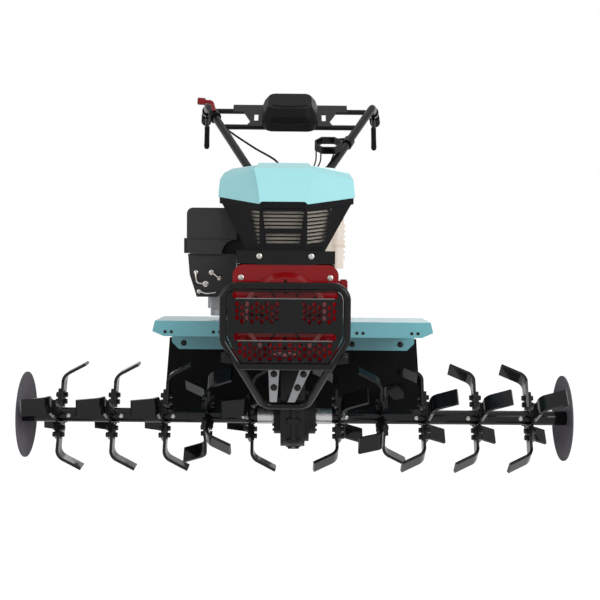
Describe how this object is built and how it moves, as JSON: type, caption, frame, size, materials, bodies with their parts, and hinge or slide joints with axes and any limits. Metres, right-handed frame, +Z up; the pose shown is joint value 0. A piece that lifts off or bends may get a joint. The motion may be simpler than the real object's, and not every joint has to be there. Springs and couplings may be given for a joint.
{
  "type": "power weeder",
  "caption": "Walk-behind petrol power weeder on bent-tine rotors with side discs, hooded engine behind a grilled bumper, fender with flap, drag stake and tilting handlebar.",
  "frame": {"origin": "middle of the part's footprint, on the ground under it", "axes": "+X to the machine's left-hand side seen from the driver (right in the picture), +Y to the rear, +Z up"},
  "size_m": [1.322, 1.4619, 1.0046],
  "materials": {
    "black_paint": "satin powder coat",
    "tine_steel": "satin black paint",
    "disc_steel": "satin grey paint",
    "zinc_steel": "zinc plated",
    "cast_case": "painted casting",
    "engine_alloy": "die cast",
    "muffler_alloy": "heat-proof coat",
    "red_cover": "gloss",
    "black_plastic": "fine grain",
    "hood_shell": "gloss",
    "teal_paint": "gloss paint",
    "tank_shell": "smooth moulding",
    "black_rubber": "matte"
  },
  "bodies": {
    "chassis": {"drive_case": "cast_case", "gearbox": "cast_case", "engine_base": "black_paint", "engine_block": "engine_alloy", "fan_shroud": "red_cover", "recoil_cover": "red_cover", "air_filter": "black_plastic", "carburettor": "engine_alloy", "muffler": "muffler_alloy", "oil_cap": "red_cover", "fuel_tank": "tank_shell", "hood": "hood_shell", "hood_grille": "black_plastic", "grille_bracket": "black_paint", "bumper_frame": "black_paint", "skid_brackets": "engine_alloy", "bumper_grille": "black_paint", "fender_left": "teal_paint", "fender_right": "teal_paint", "mud_flap": "black_rubber", "hitch": "black_paint", "clamp_screw": "zinc_steel", "handle_column": "black_paint"},
    "rotor": {"rotor_inner_left": "tine_steel", "rotor_inner_right": "tine_steel", "rotor_outer_left": "tine_steel", "rotor_outer_right": "tine_steel", "side_disc_left": "disc_steel", "side_disc_right": "disc_steel", "output_shaft": "zinc_steel"},
    "drag_stake": {"drag_stake": "black_paint"},
    "handlebar": {"pivot_bolt": "zinc_steel", "arm_left": "black_paint", "arm_right": "black_paint", "cross_low": "black_paint", "cross_top": "black_paint", "grip_left": "black_rubber", "grip_right": "black_rubber", "lever_left": "black_paint", "lever_right": "black_paint", "throttle_lever": "red_cover", "shift_gate": "black_paint", "console_plate": "black_paint", "console": "black_plastic"}
  },
  "joints": [
    {"name": "rotor_spin", "type": "hinge", "parent": "chassis", "child": "rotor", "pos_m": [0, -0.37086, 0.126], "axis": [1, 0, 0], "continuous": true},
    {"name": "handlebar_tilt", "type": "hinge", "parent": "chassis", "child": "handlebar", "pos_m": [-0.022, 0.02914, 0.677], "axis": [1, 0, 0], "range_deg": [-12, 18]},
    {"name": "stake_slide", "type": "slide", "parent": "chassis", "child": "drag_stake", "axis": [0, 0, 1], "range_m": [0, 0.12]}
  ]
}
